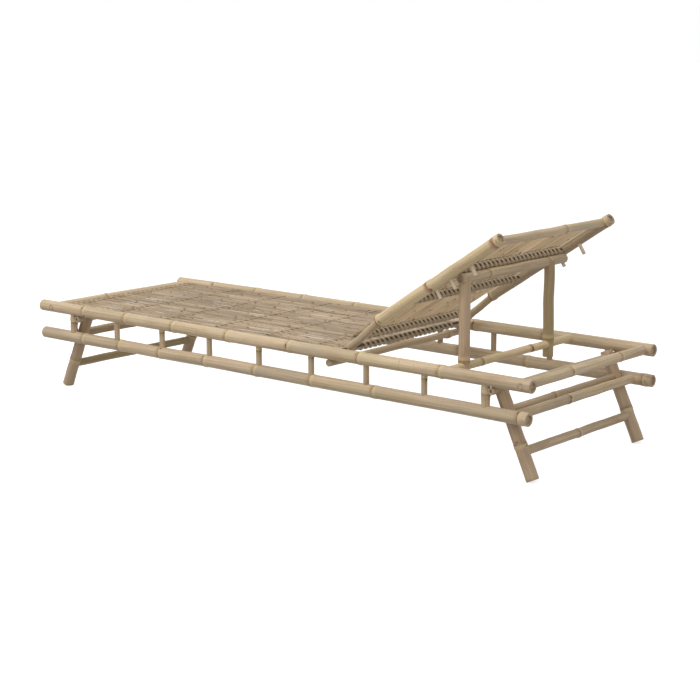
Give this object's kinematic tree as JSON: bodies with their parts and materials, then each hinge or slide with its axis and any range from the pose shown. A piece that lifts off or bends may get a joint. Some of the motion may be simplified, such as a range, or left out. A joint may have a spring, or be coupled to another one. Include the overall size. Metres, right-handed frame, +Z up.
{
  "type": "bamboo folding recliner",
  "caption": "Low bamboo sun lounger with a slatted deck, a rack-adjusted hinged backrest on a swinging prop frame, and splayed folding legs at both ends.",
  "frame": {"origin": "on the floor, under the middle of the lounger", "axes": "+X along the lounger towards the head end, +Y across it towards the far side of the picture, +Z up"},
  "size_m": [2, 0.6814, 0.6763],
  "materials": {
    "bamboo_pole": "satin, pale natural bamboo",
    "bamboo_stick": "satin, natural bamboo stick",
    "bamboo_slat": "matt, split bamboo",
    "bamboo_peg": "matt, whittled bamboo",
    "cord": "matt, thin natural cord"
  },
  "bodies": {
    "frame": {"near_top_rail": "bamboo_pole", "far_top_rail": "bamboo_pole", "near_bottom_rail": "bamboo_pole", "far_bottom_rail": "bamboo_pole", "foot_cross_rail": "bamboo_pole", "head_cross_rail": "bamboo_pole", "foot_stop_rail": "bamboo_pole", "head_stop_rail": "bamboo_pole", "foot_leg_rod": "bamboo_stick", "head_leg_rod": "bamboo_stick", "near_foot_post": "bamboo_pole", "far_foot_post": "bamboo_pole", "near_head_post": "bamboo_pole", "far_head_post": "bamboo_pole", "near_spindles": "bamboo_peg", "far_spindles": "bamboo_peg", "leg_rod_pins": "bamboo_peg", "prop_pivot_rod": "bamboo_stick", "hinge_bearer": "bamboo_stick", "seat_battens": "bamboo_stick", "seat_batten_cords": "cord", "seat_slats": "bamboo_slat"},
    "backrest": {"hinge_rod": "bamboo_stick", "near_hinge_tongue": "bamboo_pole", "far_hinge_tongue": "bamboo_pole", "backrest_near_rail": "bamboo_pole", "backrest_far_rail": "bamboo_pole", "backrest_head_rail": "bamboo_pole", "backrest_low_batten": "bamboo_stick", "backrest_mid_batten": "bamboo_stick", "backrest_high_batten": "bamboo_stick", "hinge_cord": "cord", "low_batten_cord": "cord", "mid_batten_cord": "cord", "high_batten_cord": "cord", "backrest_slats": "bamboo_slat", "near_rack_pegs": "bamboo_peg", "far_rack_pegs": "bamboo_peg"},
    "prop": {"prop_near_post": "bamboo_pole", "prop_far_post": "bamboo_pole", "prop_top_bar": "bamboo_pole", "prop_pins": "bamboo_peg"},
    "foot_legs": {"near_foot_leg": "bamboo_pole", "far_foot_leg": "bamboo_pole", "foot_leg_high_stretcher": "bamboo_stick", "foot_leg_low_stretcher": "bamboo_pole"},
    "head_legs": {"near_head_leg": "bamboo_pole", "far_head_leg": "bamboo_pole", "head_leg_high_stretcher": "bamboo_stick", "head_leg_low_stretcher": "bamboo_pole"}
  },
  "joints": [
    {"name": "backrest_recline", "type": "hinge", "parent": "frame", "child": "backrest", "pos_m": [0.322, 0, 0.286], "axis": [0, -1, 0], "range_deg": [-27.3, 3.5]},
    {"name": "prop_swing", "type": "hinge", "parent": "frame", "child": "prop", "pos_m": [0.716, 0, 0.283], "axis": [0, -1, 0], "range_deg": [-83.28, 10.68]},
    {"name": "foot_leg_fold", "type": "hinge", "parent": "frame", "child": "foot_legs", "pos_m": [-0.8229, 0, 0.2472], "axis": [0, -1, 0], "range_deg": [0, 105]},
    {"name": "head_leg_fold", "type": "hinge", "parent": "frame", "child": "head_legs", "pos_m": [0.8691, 0, 0.2472], "axis": [0, 1, 0], "range_deg": [0, 105]}
  ],
  "couplings": [
    {"joint": "prop_swing", "follows": "backrest_recline", "ratio": 3.05}
  ]
}
